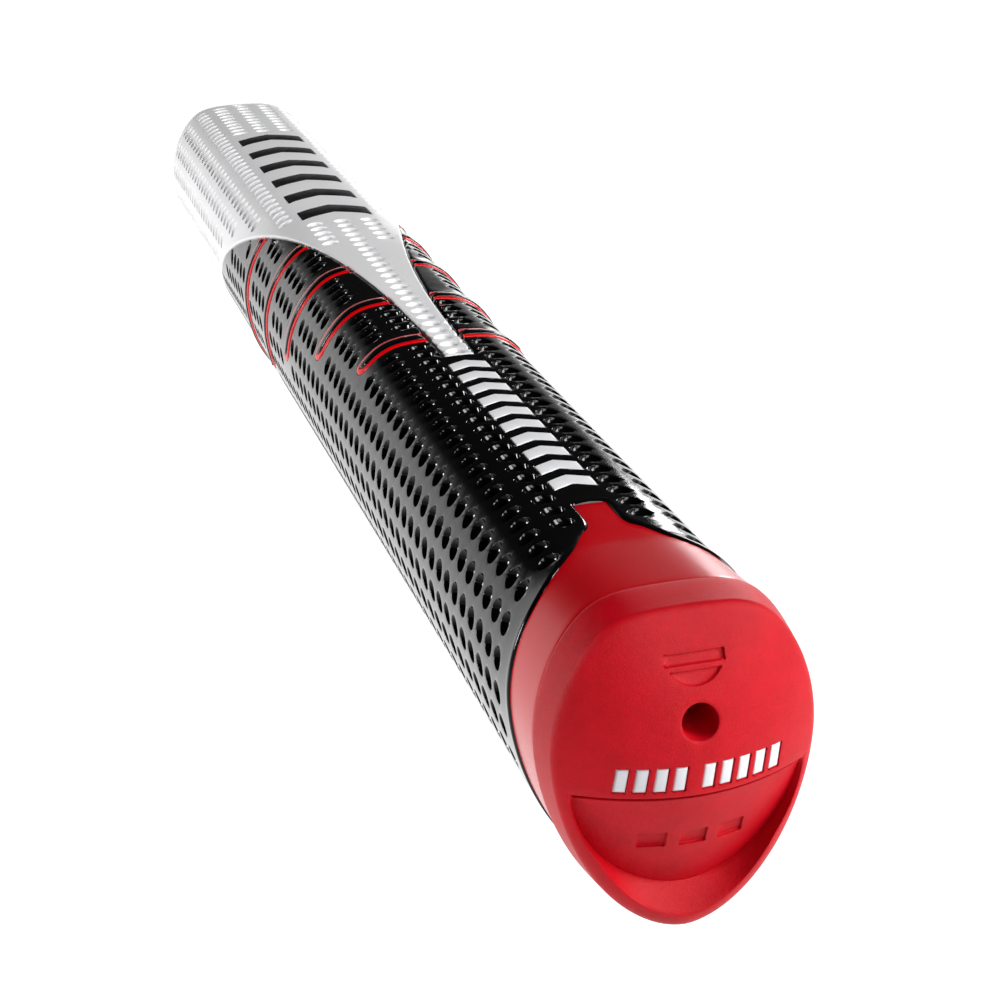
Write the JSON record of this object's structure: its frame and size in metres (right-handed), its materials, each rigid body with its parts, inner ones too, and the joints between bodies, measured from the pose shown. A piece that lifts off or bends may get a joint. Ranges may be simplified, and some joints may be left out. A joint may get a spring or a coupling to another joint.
{
  "type": "putter grip",
  "caption": "Co-moulded rubber putter grip with one thumb flat, a reverse taper and a vented butt cap, bored to slide over the butt end of a putter shaft.",
  "frame": {"origin": "centre of the shaft bore at its closed end, where the end of the shaft stops against the butt cap", "axes": "+Y along the shaft bore from the butt cap to the open mouth, +Z the outward normal of the thumb flat, +X to the right seen from the butt with the flat up"},
  "size_m": [0.0294, 0.2668, 0.0342],
  "materials": {
    "core_rubber": "closed-cell moulded rubber, matt",
    "red_cap": "fine matt grain",
    "red_skin": "satin",
    "black_skin": "satin with round dimples",
    "white_skin": "satin with round dimples",
    "red_accent": "satin",
    "white_paint": "matt infill",
    "black_paint": "matt infill"
  },
  "bodies": {
    "root": {"core": "core_rubber", "butt_cap": "red_cap", "cap_inlay": "white_paint", "collar_skin": "red_skin", "grip_skin": "black_skin", "tip_skin": "white_skin", "accent_band_left_1": "red_accent", "accent_band_left_2": "red_accent", "accent_band_left_3": "red_accent", "accent_band_left_4": "red_accent", "accent_band_left_5": "red_accent", "accent_band_right_1": "red_accent", "accent_band_right_2": "red_accent", "accent_band_right_3": "red_accent", "accent_band_right_4": "red_accent", "accent_band_right_5": "red_accent", "sight_mark_1": "white_paint", "sight_mark_2": "white_paint", "sight_mark_3": "white_paint", "sight_mark_4": "white_paint", "sight_mark_5": "white_paint", "sight_mark_6": "white_paint", "sight_mark_7": "white_paint", "sight_mark_8": "white_paint", "sight_mark_9": "white_paint", "sight_mark_10": "white_paint", "tip_mark_1": "black_paint", "tip_mark_2": "black_paint", "tip_mark_3": "black_paint", "tip_mark_4": "black_paint", "tip_mark_5": "black_paint", "tip_mark_6": "black_paint"}
  },
  "joints": []
}
